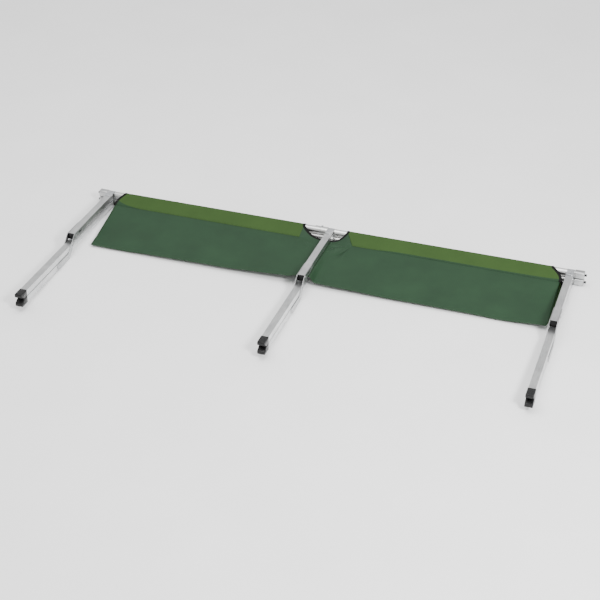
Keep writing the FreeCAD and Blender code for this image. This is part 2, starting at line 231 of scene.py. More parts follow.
def rounded(corners: Sequence[Sequence[float]], radii: Sequence[float], steps: int = 7) -> tuple[Array, Array]:
    """A polygon whose corners are arcs tangent to both sides.

    With unit vectors a and b from the corner to its neighbours and the angle f between them, the arc's centre is
    r / sin(f/2) along a + b, and its points turn evenly from one tangent point to the other.

    Args:
        corners: the polygon, counter-clockwise.
        radii: one radius for each corner.
        steps: points on each arc.

    Returns:
        The points and their outward directions.
    """
    corner = np.asarray(corners, float)
    radius = np.asarray(radii, float)[:, None]
    a = np.roll(corner, 1, 0) - corner
    b = np.roll(corner, -1, 0) - corner
    a /= np.linalg.norm(a, axis=1, keepdims=True)
    b /= np.linalg.norm(b, axis=1, keepdims=True)
    angle = np.arccos(np.clip((a * b).sum(1, keepdims=True), -1, 1))
    middle = (a + b) / np.linalg.norm(a + b, axis=1, keepdims=True)
    centre = corner + middle * radius / np.sin(angle / 2)
    reach = radius / np.tan(angle / 2)
    start, end = (corner + a * reach - centre) / radius, (corner + b * reach - centre) / radius
    sweep = (math.pi - angle)[:, None, :]
    share = np.linspace(0, 1, steps)[None, :, None]
    way = (np.sin((1 - share) * sweep) * start[:, None] + np.sin(share * sweep) * end[:, None]) / np.sin(sweep)
    convex = np.sign(b[:, 0] * a[:, 1] - b[:, 1] * a[:, 0])[:, None, None]
    return (centre[:, None] + radius[:, None] * way).reshape(-1, 2), (convex * way).reshape(-1, 2)


def quarter_rim(stop: float, depth: float, inward: bool, steps: int = 4) -> list[tuple[float, float]]:
    """Stations of a rounded rim: a quarter circle from inset depth to 0, or back, that ends or starts at stop."""
    turn = np.linspace(0, math.pi / 2, steps)
    if inward:
        return [(stop - depth + depth * math.sin(t), depth * (1 - math.cos(t))) for t in turn]
    return [(stop + depth - depth * math.sin(t), depth * (1 - math.cos(t))) for t in turn[::-1]]


def carried(path: Array, across: Array, normal: Array, half_width: float, half_height: float) -> Shell:
    """A flattened round section carried along a path: point = path + w cos(t) across + h sin(t) normal.

    Args:
        path: (n, 3) points.
        across: (n, 3) unit directions of the section's width.
        normal: (n, 3) unit directions of its height.
        half_width: w.
        half_height: h.

    Returns:
        The shell, closed at its ends.
    """
    turn = np.linspace(0, 2 * math.pi, TAPE_SIDES, endpoint=False)[None, :, None]
    wide, high = half_width * np.cos(turn), half_height * np.sin(turn)
    return capped(path[:, None] + wide * across[:, None] + high * normal[:, None])


def build(
    bench: Bench,
    name: str,
    shells: Sequence[Shell],
    materials: Sequence[bpy.types.Material],
    sharp: float = 35.0,
) -> bpy.types.Object:
    """One object from shells, smooth except along sharp edges.

    Args:
        bench: the level frame.
        name: the object's name.
        shells: the skins that it is made of.
        materials: its material slots.
        sharp: the angle past which an edge stays sharp, in degrees.

    Returns:
        The object, at the origin, linked to the scene.
    """
    starts = np.cumsum([0] + [len(shell.points) for shell in shells])
    points = bench.place(np.concatenate([shell.points for shell in shells]))
    faces = [[int(i + start) for i in face] for shell, start in zip(shells, starts) for face in shell.faces]
    mesh = bpy.data.meshes.new(name)
    mesh.from_pydata(points.tolist(), [], faces)
    mesh.shade_smooth()
    mesh.set_sharp_from_angle(angle=math.radians(sharp))
    for material in materials:
        mesh.materials.append(material)
    made = bpy.data.objects.new(name, mesh)
    bpy.context.scene.collection.objects.link(made)
    return made


def settle(piece: bpy.types.Object, body: str, slot: str, *nodes: str) -> bpy.types.Object:
    """Let a piece ride on its body and stand for its CAD nodes, and report it."""
    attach(piece, body)
    if nodes:
        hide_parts(*nodes)
    LOG.info("%s rides on %s", piece.name, body)
    return piece


# ---------------------------------------------------------------- materials
def linear(code: str) -> tuple[float, float, float, float]:
    """An sRGB hex colour as linear numbers with full alpha."""
    parts = [int(code[i : i + 2], 16) / 255 for i in (1, 3, 5)]
    red, green, blue = (c / 12.92 if c <= 0.04045 else ((c + 0.055) / 1.055) ** 2.4 for c in parts)
    return red, green, blue, 1.0


def add(
    tree: bpy.types.NodeTree,
    kind: str,
    inputs: dict[Any, Any] | None = None,
    **settings: Any,
) -> bpy.types.Node:
    """One node with its settings, and each input either linked to a socket or set to a value."""
    node = tree.nodes.new(kind)
    for key, value in settings.items():
        setattr(node, key, value)
    for key, value in (inputs or {}).items():
        if isinstance(value, bpy.types.NodeSocket):
            tree.links.new(value, node.inputs[key])
        else:
            node.inputs[key].default_value = value
    return node


def ramp(tree: bpy.types.NodeTree, factor: bpy.types.NodeSocket, stops: Stops) -> bpy.types.Node:
    """A colour ramp through hex colours."""
    node = add(tree, "ShaderNodeValToRGB", {0: factor})
    points = node.color_ramp.elements
    while len(points) < len(stops):
        points.new(0.5)
    for point, (place, code) in zip(points, stops):
        point.position, point.color = place, linear(code)
    return node


def fresh(name: str) -> tuple[bpy.types.Material, bpy.types.NodeTree, bpy.types.Node]:
    """A new material with only its shader and output."""
    material = bpy.data.materials.new(name)
    material.use_nodes = True
    tree = material.node_tree
    tree.nodes.clear()
    shader = add(tree, "ShaderNodeBsdfPrincipled")
    add(tree, "ShaderNodeOutputMaterial", {"Surface": shader.outputs[0]})
    return material, tree, shader


@dataclass(frozen=True)
class MetalFinish:
    """A metal whose fine lines run along one axis of the part.

    Attributes:
        name: the material's name.
        dark, light: the ends of its slight colour change.
        roughness: its middle roughness.
        line_mm: the spacing of its drawn lines.
        run_mm: how far one line runs; the same number where the surface has no direction.
        axis: the number of the axis that the lines run along.
        depth_mm: how deep they are.
    """

    name: str
    dark: str
    light: str
    roughness: float
    line_mm: float
    run_mm: float
    axis: int
    depth_mm: float

    def make(self) -> bpy.types.Material:
        """Metal with drawn lines, a slow change of tone and a few duller patches."""
        material, tree, shader = fresh(self.name)
        where = add(tree, "ShaderNodeTexCoord").outputs["Object"]
        scale = [1000.0 / self.line_mm] * 3
        scale[self.axis] = 1000.0 / self.run_mm
        drawn = add(tree, "ShaderNodeMapping", {"Vector": where, "Scale": scale})
        lines = add(tree, "ShaderNodeTexNoise", {"Vector": drawn.outputs[0], "Scale": 1.0, "Detail": 3.0})
        patches = add(tree, "ShaderNodeTexNoise", {"Vector": where, "Scale": 14.0, "Detail": 2.0})
        mixed = add(tree, "ShaderNodeMath", {0: lines.outputs[0], 1: patches.outputs[0]}, operation="ADD")
        half = add(tree, "ShaderNodeMath", {0: mixed.outputs[0], 1: 0.5}, operation="MULTIPLY")
        tone = ramp(tree, half.outputs[0], [(0.3, self.dark), (0.62, self.light)])
        tree.links.new(tone.outputs[0], shader.inputs["Base Color"])
        span = {"Value": half.outputs[0], "To Min": self.roughness - 0.06, "To Max": self.roughness + 0.08}
        tree.links.new(add(tree, "ShaderNodeMapRange", span).outputs[0], shader.inputs["Roughness"])
        bump = {"Height": lines.outputs[0], "Strength": 0.35, "Distance": self.depth_mm * MM}
        tree.links.new(add(tree, "ShaderNodeBump", bump).outputs[0], shader.inputs["Normal"])
        shader.inputs["Metallic"].default_value = 1.0
        return material


@dataclass(frozen=True)
class MouldedFinish:
    """Moulded plastic with a fine spark-eroded grain and rubbed, glossier patches."""

    name: str
    colour: str
    worn: str
    roughness: float
    grain_mm: float

    def make(self) -> bpy.types.Material:
        """Dark plastic whose grain breaks its gloss."""
        material, tree, shader = fresh(self.name)
        where = add(tree, "ShaderNodeTexCoord").outputs["Object"]
        grain = add(tree, "ShaderNodeTexVoronoi", {"Vector": where, "Scale": 1000.0 / self.grain_mm})
        rubbed = add(tree, "ShaderNodeTexNoise", {"Vector": where, "Scale": 45.0, "Detail": 3.0})
        tone = ramp(tree, rubbed.outputs[0], [(0.42, self.colour), (0.72, self.worn)])
        tree.links.new(tone.outputs[0], shader.inputs["Base Color"])
        span = {"Value": rubbed.outputs[0], "To Min": self.roughness + 0.08, "To Max": self.roughness - 0.08}
        tree.links.new(add(tree, "ShaderNodeMapRange", span).outputs[0], shader.inputs["Roughness"])
        bump = {"Height": grain.outputs[0], "Strength": 0.25, "Distance": 0.00015}
        tree.links.new(add(tree, "ShaderNodeBump", bump).outputs[0], shader.inputs["Normal"])
        shader.inputs["IOR"].default_value = 1.49
        shader.inputs["Specular IOR Level"].default_value = 0.35
        return material


@dataclass(frozen=True)
class WovenFinish:
    """Plain-woven nylon: threads over and under each other, a slow change of dye and a low gloss.

    Attributes:
        name: the material's name.
        dark, light: the ends of its change of colour.
        roughness: its roughness.
        thread_mm: the spacing of its threads.
        beyond: two hex colours that it changes to where the "flap" attribute falls under 0, or None.
    """

    name: str
    dark: str
    light: str
    roughness: float
    thread_mm: float
    beyond: tuple[str, str] | None = None

    def make(self) -> bpy.types.Material:
        """Cloth with warp and weft in its bump and colour, on the piece's own map in metres."""
        material, tree, shader = fresh(self.name)
        where = add(tree, "ShaderNodeUVMap", uv_map="cloth").outputs[0]
        bands, scale = [], 1000.0 / self.thread_mm / 20.0 * math.pi
        for turned in (0.0, math.pi / 2):
            laid = add(tree, "ShaderNodeMapping", {"Vector": where, "Rotation": (0.0, 0.0, turned)})
            wave = {"Vector": laid.outputs[0], "Scale": scale, "Distortion": 0.4}
            bands.append(add(tree, "ShaderNodeTexWave", wave).outputs["Fac"])
        weave = add(tree, "ShaderNodeMath", {0: bands[0], 1: bands[1]}, operation="MULTIPLY")
        dye = add(tree, "ShaderNodeTexNoise", {"Vector": where, "Scale": 6.0, "Detail": 4.0, "Roughness": 0.6})
        slub = add(tree, "ShaderNodeMath", {0: weave.outputs[0], 1: 0.22}, operation="MULTIPLY")
        mixed = add(tree, "ShaderNodeMath", {0: slub.outputs[0], 1: dye.outputs[0]}, operation="ADD")
        colour = ramp(tree, mixed.outputs[0], [(0.2, self.dark), (0.95, self.light)]).outputs[0]
        # past the flap attribute's edge the colour turns to the beyond colours; on the sleeve this also paints a
        # shade band along the seam
        if self.beyond:
            other = ramp(tree, mixed.outputs[0], [(0.2, self.beyond[0]), (0.95, self.beyond[1])]).outputs[0]
            edge = add(tree, "ShaderNodeAttribute", attribute_name="flap").outputs["Fac"]
            share = add(tree, "ShaderNodeMapRange", {"Value": edge, "From Min": -0.6, "From Max": 0.6}).outputs[0]
            colour = add(tree, "ShaderNodeMixRGB", {"Fac": share, "Color1": other, "Color2": colour}).outputs[0]
        tree.links.new(colour, shader.inputs["Base Color"])
        bump = {"Height": weave.outputs[0], "Strength": 0.3, "Distance": 0.0003}
        tree.links.new(add(tree, "ShaderNodeBump", bump).outputs[0], shader.inputs["Normal"])
        shader.inputs["Roughness"].default_value = self.roughness
        shader.inputs["Specular IOR Level"].default_value = 0.22
        shader.inputs["IOR"].default_value = 1.53
        return material


@dataclass(frozen=True)
class RibbedFinish:
    """Narrow woven tape or thread: fine ribs across it in bump and tone."""

    name: str
    dark: str
    light: str
    roughness: float
    rib_mm: float

    def make(self) -> bpy.types.Material:
        """Ribbed yarn."""
        material, tree, shader = fresh(self.name)
        where = add(tree, "ShaderNodeTexCoord").outputs["Object"]
        rib = {"Vector": where, "Scale": 1000.0 / self.rib_mm / 20.0 * math.pi, "Distortion": 1.5}
        ribs = add(tree, "ShaderNodeTexWave", rib, bands_direction="DIAGONAL").outputs["Fac"]
        tone = ramp(tree, ribs, [(0.2, self.dark), (0.9, self.light)])
        tree.links.new(tone.outputs[0], shader.inputs["Base Color"])
        bump = {"Height": ribs, "Strength": 0.4, "Distance": 0.0002}
        tree.links.new(add(tree, "ShaderNodeBump", bump).outputs[0], shader.inputs["Normal"])
        shader.inputs["Roughness"].default_value = self.roughness
        shader.inputs["Specular IOR Level"].default_value = 0.2
        return material


class Finishes:
    """Every material of the cot, each made once."""

    def __init__(self) -> None:
        """Make them."""
        # clear anodised drawn tube: pale, with faint lines along the draw, which stretch its highlights
        rail = MetalFinish("anodised_drawn_aluminium_rail", "#C6C7C6", "#E6E6E4", 0.34, 1.6, 120.0, 0, 0.02)
        self.rail = rail.make()
        self.leg = MetalFinish("mill_drawn_aluminium_leg", "#B8B9BA", "#DEDFDF", 0.32, 1.6, 110.0, 1, 0.02).make()
        # stamped sheet: the same metal, rolled, a shade duller
        self.plate = MetalFinish("stamped_aluminium_plate", "#9C9D9E", "#C6C7C7", 0.33, 1.8, 60.0, 1, 0.02).make()
        # bright zinc: a cool, slightly mottled mirror
        self.zinc = MetalFinish("bright_zinc_plated_steel", "#B9BCBF", "#E2E4E6", 0.24, 6.0, 6.0, 0, 0.01).make()
        # cast end block: satin, with the mould's fine orange peel
        self.cast = MetalFinish("tumbled_cast_aluminium", "#A6A7A7", "#CBCCCC", 0.42, 1.2, 1.2, 0, 0.05).make()
        self.pin = MetalFinish("nickel_plated_steel_pin", "#8E9092", "#C8CACC", 0.28, 2.5, 2.5, 0, 0.01).make()
        self.plastic = MouldedFinish("moulded_black_polypropylene", "#050506", "#0B0B0C", 0.28, 0.9).make()
        # lying side of the nylon: uncoated and more yellow; its lighter tone is partly painted light for the
        # sleeve's top, which faces up to the lamps; its threads are drawn at 3 mm, about four times life, because
        # the real 0.7 mm ones are too fine to show
        coated = ("#182F1D", "#213E27")
        self.lying = WovenFinish("uncoated_woven_nylon_painted_lighter", "#273F16", "#334D20", 0.75, 3.0, coated).make()
        # outer side: the coating fills the weave, which gives a bluer, smoother, slightly glossier green
        self.coated = WovenFinish("coated_woven_nylon", *coated, 0.6, 3.0).make()
        self.tape = RibbedFinish("black_polyester_binding_tape", "#040504", "#0D0E0D", 0.8, 2.2).make()
        self.thread = RibbedFinish("dark_green_sewing_thread", "#1C2C18", "#35502C", 0.65, 1.2).make()

    def dress(self, node: bpy.types.Object, material: bpy.types.Material) -> None:
        """Give a carried-over CAD node its material."""
        node.data.materials.clear()
        node.data.materials.append(material)


# ---------------------------------------------------------------- side rails
@dataclass
class SideRails:
    """The two rails, each in two hinged halves, with their end blocks and pegs."""

    bench: Bench
    nodes: dict[str, bpy.types.Object]
    finishes: Finishes
    block_corner: float = 8.0
    block_rim: float = 1.6
    recess_rim: float = 4.5
    recess_depth: float = 1.5
    peg_rim: float = 1.2
    peg_waist: float = 0.7
    waist_from: tuple[float, float] = (0.15, 0.6)

    def end_block(self, level: Level, half: Half) -> None:
        """A cast square block with rounded rims and a shallow recess round its peg."""
        name = f"{level.value}_end_block_{half.value}"
        low, high = self.bench.span(self.nodes[name])
        centre, side = (low + high) / 2, (high[1] - low[1]) / 2
        corners = [(-side, -side), (side, -side), (side, side), (-side, side)]
        outline, normals = rounded(corners, [self.block_corner] * 4, 10)
        inner, outer = (low[0], high[0]) if half is Half.RIGHT else (-high[0], -low[0])
        stations = quarter_rim(inner, self.block_rim, inward=False)
        stations += quarter_rim(outer, self.block_rim, inward=True)
        stations += [(outer, self.recess_rim), (outer - self.recess_depth, self.recess_rim + 0.6)]
        stations = np.array(stations) * [half.sign, 1.0]
        shell = lofted(outline, normals, stations, Axis.X, (0.0, centre[1], centre[2]))
        made = build(self.bench, f"{name}_casting", [shell], [self.finishes.cast])
        settle(made, f"{level.value}_rail_{half.value}", "end_block", name)

    def end_peg(self, level: Level, half: Half) -> None:
        """A black peg with a waist and a rounded tip, on which an end bar hooks."""
        name = f"{level.value}_end_pin_{half.value}"
        low, high = self.bench.span(self.nodes[name])
        centre, radius = (low + high) / 2, (high[1] - low[1]) / 2
        root, tip = (low[0], high[0]) if half is Half.RIGHT else (-high[0], -low[0])
        length = tip - root
        first, last = self.waist_from
        stations = [(root - self.recess_depth, 0.0)]
        for share in np.linspace(first, last, 8):
            bulge = math.sin(math.pi * (share - first) / (last - first))
            stations.append((root + share * length, self.peg_waist * bulge))
        stations += quarter_rim(tip, self.peg_rim, inward=True, steps=5)
        stations = np.array(stations) * [half.sign, 1.0]
        shell = lofted(*circle(radius), stations, Axis.X, (0.0, centre[1], centre[2]))
        made = build(self.bench, f"{name}_peg", [shell], [self.finishes.plastic])
        settle(made, f"{level.value}_rail_{half.value}", "black_plastic", name)

    def make(self) -> None:
        """Dress the tubes, leaves and pins and replace the blocks and pegs."""
        for level in Level:
            self.finishes.dress(self.nodes[f"{level.value}_hinge_pin"], self.finishes.pin)
            for half in Half:
                self.finishes.dress(self.nodes[f"{level.value}_rail_{half.value}_tube"], self.finishes.rail)
                self.finishes.dress(self.nodes[f"{level.value}_hinge_leaf_{half.value}"], self.finishes.zinc)
                self.end_block(level, half)
                self.end_peg(level, half)


# ---------------------------------------------------------------- legs
@dataclass
class LegPair:
    """One pair of crossed legs: two straps on the rails, a straight arm and a cranked arm."""

    bench: Bench
    nodes: dict[str, bpy.types.Object]
    finishes: Finishes
    name: str
    place: Array
    pitch: float
    opening: float
    cross: float
    drop: float = 25.0
    strap_thick: float = 1.2
    strap_radius: float = 13.15
    strap_corner: float = 7.0
    foot_rim: float = 2.2
    foot_nose: float = 3.0
    foot_front: float = 9.0
    tread_depth: float = 1.3
    tread_pitch: float = 4.6
    plug_rim: float = 1.0
    plate_thick: float = 2.0
    plate_edge: float = 0.5
    plate_corner: float = 9.0
    crank_corner: float = 14.0
    crank_long: float = 32.0
    crank_short: float = 26.0
    bush_depth: float = 0.6
    slot_long: float = 13.0
    slot_tall: float = 3.5
    slot_radius: float = 3.4
    pin_radius: float = 3.0
    rivet_head: float = 4.0
    cross_head: float = 7.0
    rivet_rise: float = 1.3

    def strap(self, level: Level) -> None:
        """A bent zinc strap: a flat rounded section carried out along one ear, round the rail and back."""
        node = f"{self.name}_{level.value}_bracket_strap"
        low, high = self.bench.span(self.nodes[node])
        centre = self.place + [0.0, 0.0, self.pitch if level is Level.UPPER else 0.0]
        half_width, reach, radius = (high[0] - low[0]) / 2, self.place[1] - low[1], self.strap_radius
        turn = np.linspace(math.pi / 2, -math.pi / 2, 25)
        bend = np.stack([radius * np.cos(turn), radius * np.sin(turn)], -1)
        straight = np.linspace(0, 1, 14)[:, None]
        out = np.concatenate([-reach + straight[:-1] * reach, np.full_like(straight[:-1], radius)], 1)
        path = np.concatenate([out, bend, out[::-1] * [1, -1]])
        step = np.gradient(path, axis=0)
        step /= np.linalg.norm(step, axis=1, keepdims=True)
        normal = np.stack([step[:, 1], -step[:, 0]], -1)
        from_end = np.minimum(path[:, 0] + reach, self.strap_corner)
        narrow = self.strap_corner - np.sqrt(self.strap_corner**2 - (self.strap_corner - from_end) ** 2)
        half_thick = self.strap_thick / 2
        corners = [(-1, -half_thick), (1, -half_thick), (1, half_thick), (-1, half_thick)]
        section, _ = rounded(corners, [0.35] * 4, 4)
        wide = np.sign(section[:, 0]) * (half_width - narrow[:, None] - (1 - np.abs(section[:, 0])))
        off = path[:, None] + normal[:, None] * section[None, :, 1:]
        shell = capped(np.concatenate([wide[..., None], off], -1) + centre)
        made = build(self.bench, f"{node}_sheet", [shell], [self.finishes.zinc])
        settle(made, f"{self.name}_{level.value}_bracket", "bracket", node)

    def strap_pin(self, level: Level) -> None:
        """The upright pin that an arm swings on, with a domed head on the outer ear and a peened tail."""
        node = f"{self.name}_{level.value}_bracket_pin"
        low, high = self.bench.span(self.nodes[node])
        centre = (low + high) / 2
        head, shank = (high[0] - low[0]) / 2, self.pin_radius
        outer, inner = (high[2], low[2]) if level is Level.UPPER else (low[2], high[2])
        way = math.copysign(1.0, outer - inner)
        dome = np.linspace(0, math.pi / 2, 7)
        rise = abs(outer - inner) * 0.06
        under = outer - way * rise
        profile = [(inner, head - shank + 0.8), (inner + way * 0.5, head - shank), (under, head - shank)]
        profile += [(under + way * rise * math.sin(t), head * (1 - math.cos(t))) for t in dome]
        shell = lofted(*circle(head, 28), np.array(profile), Axis.Z, (centre[0], centre[1], 0.0))
        made = build(self.bench, f"{node}_turned", [shell], [self.finishes.pin])
        settle(made, f"{self.name}_{level.value}_bracket", "steel_pin", node)

    def foot(self, node: str, tube: str, body: str, up: float) -> None:
        """A moulded foot: its side outline, with a treaded slanting sole, carried across the tube.

        Args:
            node: the CAD foot that it stands for.
            tube: the CAD tube that it closes.
            body: the arm that it rides on.
            up: +1 where the sole looks down and forward, -1 where it looks up.
        """
        low, high = self.bench.span(self.nodes[node])
        tube_end = self.bench.span(self.nodes[tube])[0][1]
        middle, half = (low + high) / 2, (high[2] - low[2]) / 2
        tip, nose = low[1], self.foot_nose
        rise = (2 * half - nose - self.foot_front) * math.tan(self.opening)
        corners = [(tip + rise, -half), (tube_end, -half), (tube_end, half), (tip + nose, half)]
        corners += [(tip, half - nose), (tip, half - nose - self.foot_front)]
        radii = [2.0, 0.8, 0.8, 2.4, 2.4, 1.6]
        start, end = np.array(corners[5]), np.array(corners[0])
        length = float(np.linalg.norm(end - start))
        count = int(length / self.tread_pitch) - 1
        first = (length - (count - 1) * self.tread_pitch) / 2
        way = (end - start) / length
        inward = np.array([-way[1], way[0]])
        shares = np.array([(-1.3, 0), (-0.8, 1), (0.8, 1), (1.3, 0)])
        stops = first + np.arange(count)[:, None] * self.tread_pitch + shares[None, :, 0]
        depths = np.broadcast_to(shares[None, :, 1] * self.tread_depth, stops.shape)
        tread = start + stops[..., None] * way + depths[..., None] * inward
        corners = np.concatenate([np.array(corners), tread.reshape(-1, 2)])
        radii = np.array(radii + [0.25] * (count * 4))
        outline, normals = rounded(corners, radii, 5)
        across = (high[0] - low[0]) / 2
        stations = quarter_rim(-across, self.foot_rim, inward=False, steps=5)
        stations += quarter_rim(across, self.foot_rim, inward=True, steps=5)
        shell = lofted(outline, np.clip(normals, -1, 1), np.array(stations), Axis.X, (0.0, 0.0, 0.0))
        shell.points[:, 2] *= up
        shell.points += [middle[0], 0.0, middle[2]]
        made = build(self.bench, f"{node}_moulding", [shell.outward()], [self.finishes.plastic], sharp=50.0)
        settle(made, body, "black_plastic", node)

    def plug(self) -> None:
        """The plug in the upper tube's end: a rim as wide as the tube round a dished middle."""
        node = f"{self.name}_tube_plug"
        low, high = self.bench.span(self.nodes[node])
        middle = (low + high) / 2
        wide, tall = (high[0] - low[0]) / 2, (high[2] - low[2]) / 2
        corners = [(-wide, -tall), (wide, -tall), (wide, tall), (-wide, tall)]
        outline, normals = rounded(corners, [3.0] * 4, 6)
        tube_end = self.bench.span(self.nodes[f"{self.name}_upper_tube"])[0][1]
        stations = [(tube_end + 3.0, 2.0), (tube_end, 2.0), (tube_end, 0.0)]
        stations += quarter_rim(low[1], min(self.plug_rim, tube_end - low[1]), inward=False)[::-1]
        stations += [(low[1], 2.6), (low[1] + 2.2, 2.9)]
        shell = lofted(outline, normals, np.array(stations), Axis.Y, (middle[0], 0.0, middle[2]))
        made = build(self.bench, f"{node}_moulding", [shell], [self.finishes.plastic])
        settle(made, f"{self.name}_cranked_arm", "black_plastic", node)

    def rivets(self) -> None:
        """Five rivets with domed heads, turned as one profile each and set where the CAD ones are."""
        node = f"{self.name}_rivets"
        cloud = self.bench.cloud(self.nodes[node])
        half = float(np.ptp(cloud[:, 0])) / 2
        plate_rivets = cloud[np.abs(cloud[:, 1] + self.cross) > 12]
        spots = [(-self.cross, self.place[2], self.cross_head)]
        head = self.rivet_head
        for above in (True, False):
            part = plate_rivets[(plate_rivets[:, 2] > self.place[2]) == above]
            height = (part[:, 2].min() + part[:, 2].max()) / 2
            spots += [(part[:, 1].min() + head, height, head), (part[:, 1].max() - head, height, head)]
        shells = [self.rivet(y, z, head, half) for y, z, head in spots]
        made = build(self.bench, f"{node}_set", shells, [self.finishes.pin])
        settle(made, f"{self.name}_cranked_arm", "steel_pin", node)

    def rivet(self, y: float, z: float, head: float, half: float) -> Shell:
        """A shank with two domed heads along X: radius head * cos(t) at rise * sin(t) past the plate."""
        rise = self.rivet_rise
        dome = np.linspace(0, math.pi / 2 * 0.96, 7)
        right = [(half - rise + rise * math.sin(t), head * (1 - math.cos(t))) for t in dome]
        shank = head * 0.4
        stations = [(-stop, inset) for stop, inset in right[::-1]]
        stations += [(-half + rise, shank), (half - rise, shank)] + right
        return lofted(*circle(head, 24), np.array(stations), Axis.X, (self.place[0], y, z))

    def plates(self) -> None:
        """The two cranked plates: a rounded outline with its slot, filled, thickened and bevelled."""
        node = f"{self.name}_side_plates"
        low, high = self.bench.span(self.nodes[node])
        upper_z, lower_z = self.place[2] + self.pitch, self.place[2] - self.drop
        half = high[2] - upper_z
        corners = [
            (low[1], lower_z - half),
            (-self.cross - self.crank_short, lower_z - half),
            (-self.cross + self.crank_long, upper_z - half),
            (high[1], upper_z - half),
            (high[1], upper_z + half),
            (-self.cross + self.crank_short, upper_z + half),
            (-self.cross - self.crank_long, lower_z + half),
            (low[1], lower_z + half),
        ]
        end, crank = self.plate_corner, self.crank_corner
        outline, _ = rounded(corners, [end, crank, crank, end, end, crank, crank, end], 9)
        tube_end = self.bench.span(self.nodes[f"{self.name}_upper_tube"])[0][1]
        slot_middle = np.array([(tube_end + high[1]) / 2, upper_z])
        turns = np.array([(-1, -1), (1, -1), (1, 1), (-1, 1)])
        slot, _ = rounded(slot_middle + turns * [self.slot_long, self.slot_tall], [self.slot_radius] * 4, 6)
        filling, straight = shrunk(slot, 0.15), np.zeros_like(slot)
        shells, fills = [], []
        for side in (-1.0, 1.0):
            outer = side * (high[0] - low[0]) / 2
            inner = outer - side * self.plate_thick
            place = (self.place[0], 0.0, 0.0)
            shells.append(pierced_plate(outline, slot, place[0] + inner, place[0] + outer, self.plate_edge))
            stations = np.array([(inner, 0.0), (outer - side * self.bush_depth, 0.0)])
            fills.append(lofted(filling, straight, stations, Axis.X, place))
        made = build(self.bench, f"{node}_stamping", shells, [self.finishes.plate], sharp=30.0)
        settle(made, f"{self.name}_cranked_arm", "side_plate", node)
        made = build(self.bench, f"{self.name}_slot_bushes", fills, [self.finishes.plastic])
        settle(made, f"{self.name}_cranked_arm", "black_plastic")

    def make(self) -> None:
        """Dress the tubes and replace the rest."""
        for tube in ("straight_tube", "upper_tube", "lower_tube"):
            self.finishes.dress(self.nodes[f"{self.name}_{tube}"], self.finishes.leg)
        for level in Level:
            self.strap(level)
            self.strap_pin(level)
        for part, arm, side in (("straight", "straight_arm", 1.0), ("lower", "cranked_arm", -1.0)):
            self.foot(f"{self.name}_{part}_foot", f"{self.name}_{part}_tube", f"{self.name}_{arm}", side)
        self.plug()
        self.rivets()
        self.plates()


def pierced_plate(outline: Array, hole: Array, inner: float, outer: float, edge: float) -> Shell:
    """A plate with one hole: both faces filled between outline and hole, joined by walls with a small chamfer.

    Args:
        outline: (n, 2) points round the plate, as Y and Z.
        hole: (m, 2) points round the hole.
        inner, outer: the plate's faces along X.
        edge: the chamfer.

    Returns:
        The closed shell.
    """
    count, all_2d = len(outline), np.concatenate([outline, hole])
    total = len(all_2d)
    loops = [(i, (i + 1) % count) for i in range(count)]
    loops += [(count + i, count + (i + 1) % len(hole)) for i in range(len(hole))]
    filled = delaunay_2d_cdt([tuple(p) for p in all_2d], loops, [], 0, 1e-6)
    triangles = np.array([list(face) for face in filled[2]])
    flat = np.array([tuple(p) for p in filled[0]])
    middles = flat[triangles].mean(1)
    keep = inside_polygon(middles, outline) & ~inside_polygon(middles, hole)
    triangles = triangles[keep]
    way = math.copysign(1.0, outer - inner)
    ring = np.concatenate([shrunk(outline, edge), shrunk(hole, -edge)])
    layers = [(inner, ring), (inner + way * edge, all_2d), (outer - way * edge, all_2d), (outer, ring)]
    points = np.concatenate([np.column_stack([np.full(total, x), plan]) for x, plan in layers])
    faces = [[int(i) for i in t][::-1] for t in triangles]
    faces += [[int(i) + 3 * total for i in t] for t in triangles]
    for level in range(3):
        base, top = level * total, (level + 1) * total
        faces += [[base + a, base + b, top + b, top + a] for a, b in loops]
    return Shell(points, faces).outward()


def shrunk(loop: Array, amount: float) -> Array:
    """A counter-clockwise loop moved inwards by an amount along the mean normal of its two sides."""
    step = np.roll(loop, -1, 0) - np.roll(loop, 1, 0)
    step /= np.linalg.norm(step, axis=1, keepdims=True)
    return loop + amount * np.stack([-step[:, 1], step[:, 0]], -1)


def inside_polygon(points: Array, loop: Array) -> Array:
    """Whether each point lies in a loop, by counting the sides that a ray to +X crosses."""
    a, b = loop[None], np.roll(loop, -1, 0)[None]
    y = points[:, None, 1]
    crosses = (a[..., 1] > y) != (b[..., 1] > y)
    rise = np.where(b[..., 1] == a[..., 1], 1.0, b[..., 1] - a[..., 1])
    reach = a[..., 0] + (y - a[..., 1]) * (b[..., 0] - a[..., 0]) / rise
    return (crosses & (reach > points[:, None, 0])).sum(1) % 2 == 1


# ---------------------------------------------------------------- cloth bed
@dataclass(frozen=True)
class HalfCut:
    """How one half of the bed cloth is cut, measured from the middle leg along the rails.

    Attributes:
        ring_start, ring_end: the sleeve's ends over the rail.
        flap_start: where the sleeve's sewn edge starts.
        corner_end: the outer end where the rounded corner of the sleeve is over.
        fold_end: the outer end at the fold.
        end_power: how late the outer end turns from one to the other.
        scoop_power: how square the cut-out at the middle leg is.
        pinch_reach: how far from the middle leg the cloth is drawn up between the arms.
        sag, sag_reach: how far the fold rises next to the leg, and over what length that fades.
        rays: how deep the wrinkles between the leg and the sleeve's corner are.
        slant: how steeply the cloth turns past the crease near its outer end.
        end_rise: how far the fold rises at the outer end.
        painted_shade_band: how far the colour line on the sleeve's flap moves towards the rail away from the leg,
            painting shade in coated green along the seam.
        outer_end_darkening: how far the flap's olive face gives way to coated green near the outer end, in colour
            only.
    """

    ring_start: float
    ring_end: float
    flap_start: float
    corner_end: float
    fold_end: float
    end_power: float
    scoop_power: float
    pinch_reach: float
    sag: float
    sag_reach: float
    rays: float
    slant: float
    end_rise: float
    painted_shade_band: float
    outer_end_darkening: float


